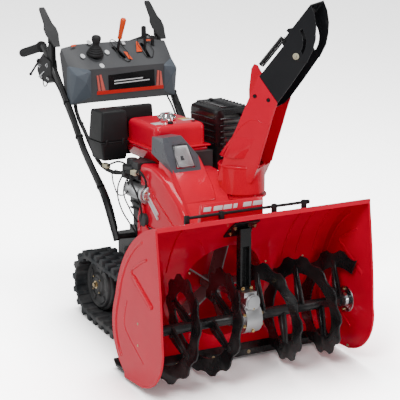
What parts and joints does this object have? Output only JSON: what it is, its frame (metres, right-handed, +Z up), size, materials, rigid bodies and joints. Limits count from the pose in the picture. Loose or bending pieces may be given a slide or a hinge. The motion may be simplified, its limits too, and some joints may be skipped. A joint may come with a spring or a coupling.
{
  "type": "two stage snowblower",
  "caption": "Tracked two-stage snowblower: ribbon augers in a wide red housing, impeller and steerable discharge chute, petrol engine, rubber tracks, twin handles and a control console.",
  "frame": {"origin": "centre of the footprint, on the ground under the track lugs", "axes": "+X the machine's left, -Y its front where the snow goes in, +Z up"},
  "size_m": [0.812, 1.4992, 1.2158],
  "materials": {
    "red_paint": "gloss red enamel",
    "black_paint": "gloss black enamel",
    "black_plastic": "moulded black plastic, fine grain",
    "console_plastic": "moulded charcoal plastic, fine grain",
    "lamp_plastic": "grey moulded plastic",
    "track_rubber": "moulded track rubber",
    "grip_rubber": "soft black rubber",
    "wheel_plastic": "dark grey moulded wheel",
    "bare_steel": "bright steel",
    "cast_aluminium": "as-cast aluminium",
    "bright_chrome": "bright plate",
    "wheel_bronze": "bronze gear",
    "orange_grip": "orange moulded grip",
    "lamp_lens": "clear lens"
  },
  "bodies": {
    "undercarriage": {"track_belt_left": "track_rubber", "track_belt_right": "track_rubber", "track_frame_left": "black_paint", "track_frame_right": "black_paint", "rear_axle": "bare_steel"},
    "drive_left": {"drive_wheel_left": "wheel_plastic"},
    "drive_right": {"drive_wheel_right": "wheel_plastic"},
    "idler_left": {"idler_wheel_left": "wheel_plastic"},
    "idler_right": {"idler_wheel_right": "wheel_plastic"},
    "machine": {"auger_housing": "red_paint", "scraper_bar": "black_paint", "skid_shoe_left": "black_paint", "skid_shoe_right": "black_paint", "blower_housing": "red_paint", "gearbox_case": "cast_aluminium", "gearbox_support": "black_paint", "main_frame": "black_paint", "transmission": "cast_aluminium", "engine_block": "cast_aluminium", "fuel_tank": "red_paint", "air_cleaner_base": "black_plastic", "air_cleaner_cover": "black_plastic", "muffler": "bare_steel", "muffler_guard": "black_paint", "recoil_cover": "black_plastic", "starter_motor": "cast_aluminium", "belt_cover": "red_paint", "drive_belt": "track_rubber", "headlight_housing": "lamp_plastic", "headlight_lens": "lamp_lens", "handle_rail_left": "black_paint", "handle_rail_right": "black_paint", "grip_left": "grip_rubber", "grip_right": "grip_rubber", "console": "console_plastic", "wiring_loom": "black_plastic", "clutch_cable": "black_plastic"},
    "auger": {"auger_shaft": "bare_steel", "auger_left": "black_paint", "auger_right": "black_paint", "worm_wheel": "wheel_bronze"},
    "impeller": {"impeller": "black_paint", "impeller_shaft": "bare_steel", "impeller_pulley": "black_paint"},
    "crank": {"engine_pulley": "bare_steel"},
    "chute": {"chute": "red_paint", "chute_extension": "black_paint", "deflector_spring": "black_paint"},
    "deflector": {"deflector": "black_paint"},
    "clutch_lever_left": {"clutch_lever_left": "black_plastic"},
    "clutch_lever_right": {"clutch_lever_right": "black_plastic"},
    "steering_left": {"steering_trigger_left": "black_plastic"},
    "steering_right": {"steering_trigger_right": "black_plastic"},
    "gimbal": {"joystick_gimbal": "bare_steel"},
    "joystick": {"joystick": "black_plastic"},
    "speed_lever": {"speed_lever": "orange_grip"},
    "throttle_lever": {"throttle_lever": "black_plastic"},
    "ignition_key": {"ignition_key": "black_plastic"},
    "fuel_cap": {"fuel_cap": "bright_chrome"},
    "recoil_handle": {"recoil_handle": "black_plastic"}
  },
  "joints": [
    {"name": "height_adjust", "type": "hinge", "parent": "undercarriage", "child": "machine", "pos_m": [0, -0.2575, 0.128], "axis": [1, 0, 0], "range_deg": [-3, 3.2]},
    {"name": "drive_left_spin", "type": "hinge", "parent": "undercarriage", "child": "drive_left", "pos_m": [0.235, -0.2575, 0.128], "axis": [1, 0, 0], "continuous": true},
    {"name": "drive_right_spin", "type": "hinge", "parent": "undercarriage", "child": "drive_right", "pos_m": [-0.235, -0.2575, 0.128], "axis": [1, 0, 0], "continuous": true},
    {"name": "idler_left_spin", "type": "hinge", "parent": "undercarriage", "child": "idler_left", "pos_m": [0.235, 0.0145, 0.128], "axis": [1, 0, 0], "continuous": true},
    {"name": "idler_right_spin", "type": "hinge", "parent": "undercarriage", "child": "idler_right", "pos_m": [-0.235, 0.0145, 0.128], "axis": [1, 0, 0], "continuous": true},
    {"name": "auger_spin", "type": "hinge", "parent": "machine", "child": "auger", "pos_m": [0, -0.57714, 0.19448], "axis": [1, 0, 0], "continuous": true},
    {"name": "impeller_spin", "type": "hinge", "parent": "machine", "child": "impeller", "pos_m": [0, -0.34724, 0.22644], "axis": [0, 0.994, -0.1097], "continuous": true},
    {"name": "crank_spin", "type": "hinge", "parent": "machine", "child": "crank", "pos_m": [0, -0.2299, 0.45998], "axis": [0, 0.994, -0.1097], "continuous": true},
    {"name": "chute_turn", "type": "hinge", "parent": "machine", "child": "chute", "pos_m": [0.118, -0.30794, 0.56417], "axis": [0, 0.1097, 0.994], "range_deg": [-137, 63]},
    {"name": "deflector_tilt", "type": "hinge", "parent": "chute", "child": "deflector", "pos_m": [0.2218, -0.3902, 1.08031], "axis": [0.8, 0.5964, -0.0658], "range_deg": [0, 62], "deforming": ["deflector_spring"]},
    {"name": "clutch_lever_left_press", "type": "hinge", "parent": "machine", "child": "clutch_lever_left", "pos_m": [0.22, 0.50405, 0.89305], "axis": [1, 0, 0], "range_deg": [-55, 0], "stiffness_Nm_per_rad": 6, "springref_deg": 1.15},
    {"name": "clutch_lever_right_press", "type": "hinge", "parent": "machine", "child": "clutch_lever_right", "pos_m": [-0.22, 0.50405, 0.89305], "axis": [1, 0, 0], "range_deg": [-55, 0], "stiffness_Nm_per_rad": 6, "springref_deg": 1.15},
    {"name": "steering_left_squeeze", "type": "hinge", "parent": "machine", "child": "steering_left", "pos_m": [0.232, 0.58871, 0.80322], "axis": [1, 0, 0], "range_deg": [0, 22], "stiffness_Nm_per_rad": 4, "springref_deg": -1.72},
    {"name": "steering_right_squeeze", "type": "hinge", "parent": "machine", "child": "steering_right", "pos_m": [-0.232, 0.58871, 0.80322], "axis": [1, 0, 0], "range_deg": [0, 22], "stiffness_Nm_per_rad": 4, "springref_deg": -1.72},
    {"name": "joystick_fore_aft", "type": "hinge", "parent": "machine", "child": "gimbal", "pos_m": [-0.103, 0.38427, 0.83786], "axis": [1, 0, 0], "range_deg": [-12, 12], "stiffness_Nm_per_rad": 2},
    {"name": "joystick_sideways", "type": "hinge", "parent": "gimbal", "child": "joystick", "pos_m": [-0.103, 0.38427, 0.83786], "axis": [0, 0.994, -0.1097], "range_deg": [-12, 12], "stiffness_Nm_per_rad": 2},
    {"name": "speed_lever_swing", "type": "hinge", "parent": "machine", "child": "speed_lever", "pos_m": [-0.01, 0.41136, 0.79161], "axis": [0.9093, 0.4136, -0.0457], "range_deg": [-11, 20]},
    {"name": "throttle_lever_swing", "type": "hinge", "parent": "machine", "child": "throttle_lever", "pos_m": [0.108, 0.39069, 0.81401], "axis": [1, 0, 0], "range_deg": [-18, 18]},
    {"name": "ignition_key_turn", "type": "hinge", "parent": "machine", "child": "ignition_key", "pos_m": [0.15, 0.41572, 0.87665], "axis": [0, 0.1097, 0.994], "range_deg": [0, 70]},
    {"name": "fuel_cap_turn", "type": "hinge", "parent": "machine", "child": "fuel_cap", "pos_m": [-0.014, -0.00227, 0.72661], "axis": [0, 0.1097, 0.994], "range_deg": [0, 90]},
    {"name": "recoil_handle_pull", "type": "slide", "parent": "machine", "child": "recoil_handle", "axis": [0, 0.994, -0.1097], "range_m": [0, 0.03], "stiffness_N_per_m": 400, "springref_m": -0.01}
  ],
  "couplings": [
    {"joint": "idler_left_spin", "follows": "drive_left_spin", "ratio": 1},
    {"joint": "idler_right_spin", "follows": "drive_right_spin", "ratio": 1},
    {"joint": "impeller_spin", "follows": "auger_spin", "ratio": -10},
    {"joint": "crank_spin", "follows": "auger_spin", "ratio": -11.923}
  ]
}
